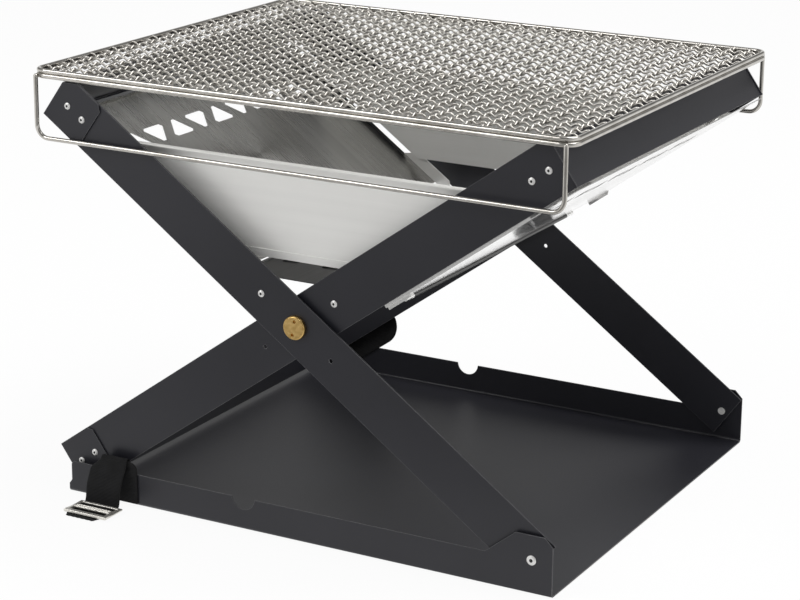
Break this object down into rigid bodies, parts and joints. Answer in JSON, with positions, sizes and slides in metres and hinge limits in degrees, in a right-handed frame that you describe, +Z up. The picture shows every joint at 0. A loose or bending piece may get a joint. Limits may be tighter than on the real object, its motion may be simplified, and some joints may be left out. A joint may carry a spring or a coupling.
{
  "type": "folding fire pit",
  "caption": "Folding fire pit: an ash tray, crossed leg frames that fold flat, a vented stainless fire bowl and a lift-off woven wire grate.",
  "frame": {"origin": "middle of the tray's underside, below the cross pivots, on the ground", "axes": "+X along the near side towards the tray hinge, +Y from the near side to the far side, +Z up"},
  "size_m": [0.548, 0.5013, 0.4073],
  "materials": {
    "powder_coat": "satin",
    "stainless": "brushed",
    "grate_wire": "bright",
    "brass": "satin",
    "rivet": "bright",
    "webbing": "woven",
    "nickel": "polished"
  },
  "bodies": {
    "tray": {"tray": "powder_coat", "near_strap": "webbing", "far_strap": "webbing", "strap_buckle": "nickel"},
    "frame_a": {"near_leg_a": "powder_coat", "far_leg_a": "powder_coat", "end_plate_a": "powder_coat", "plate_rivets_a": "rivet", "spacer_rivets_a": "rivet", "leg_spacers": "powder_coat", "hinge_rivets": "rivet", "hinge_washers": "rivet", "pivot_bolts": "brass", "pivot_washers": "rivet"},
    "frame_b": {"near_leg_b": "powder_coat", "far_leg_b": "powder_coat", "upper_plate_b": "powder_coat", "lower_plate_b": "powder_coat", "plate_rivets_b": "rivet", "right_panel": "stainless", "panel_rivets_b": "rivet"},
    "left_bowl": {"left_panel": "stainless"},
    "near_end": {"near_panel": "stainless", "near_panel_pin": "rivet"},
    "far_end": {"far_panel": "stainless", "far_panel_pin": "rivet"},
    "bowl_floor": {"bottom_plate": "stainless", "bottom_plate_pins": "rivet"},
    "grate": {"grate_frame": "grate_wire", "mesh_border": "grate_wire", "long_wires": "grate_wire", "cross_wires": "grate_wire"}
  },
  "joints": [
    {"name": "fold", "type": "hinge", "parent": "tray", "child": "frame_a", "pos_m": [0.23824, 0, 0.0315], "axis": [0, -1, 0], "range_deg": [0, 35.6]},
    {"name": "cross_pivot", "type": "hinge", "parent": "frame_a", "child": "frame_b", "pos_m": [0, 0, 0.20206], "axis": [0, 1, 0], "range_deg": [0, 71.2]},
    {"name": "near_panel_hinge", "type": "hinge", "parent": "left_bowl", "child": "near_end", "pos_m": [-0.17578, -0.2001, 0.30011], "axis": [-0.8131, 0, 0.5821], "range_deg": [0, 89]},
    {"name": "far_panel_hinge", "type": "hinge", "parent": "frame_b", "child": "far_end", "pos_m": [0.17578, 0.2001, 0.30011], "axis": [0.8131, 0, 0.5821], "range_deg": [0, 89]},
    {"name": "bottom_hinge", "type": "hinge", "parent": "frame_b", "child": "bowl_floor", "pos_m": [0.08466, 0, 0.22897], "axis": [0, -1, 0], "range_deg": [0, 35.6]},
    {"name": "left_panel_hinge", "type": "hinge", "parent": "bowl_floor", "child": "left_bowl", "pos_m": [-0.08466, 0, 0.22897], "axis": [0, -1, 0], "range_deg": [0, 35.6]},
    {"name": "grate_lift", "type": "slide", "parent": "tray", "child": "grate", "axis": [0, 0, 1], "range_m": [0, 0.15]}
  ],
  "couplings": [
    {"joint": "cross_pivot", "follows": "fold", "ratio": 2},
    {"joint": "near_panel_hinge", "follows": "fold", "ratio": 2.5},
    {"joint": "far_panel_hinge", "follows": "fold", "ratio": 2.5},
    {"joint": "bottom_hinge", "follows": "fold", "ratio": 1},
    {"joint": "left_panel_hinge", "follows": "fold", "ratio": 1}
  ]
}
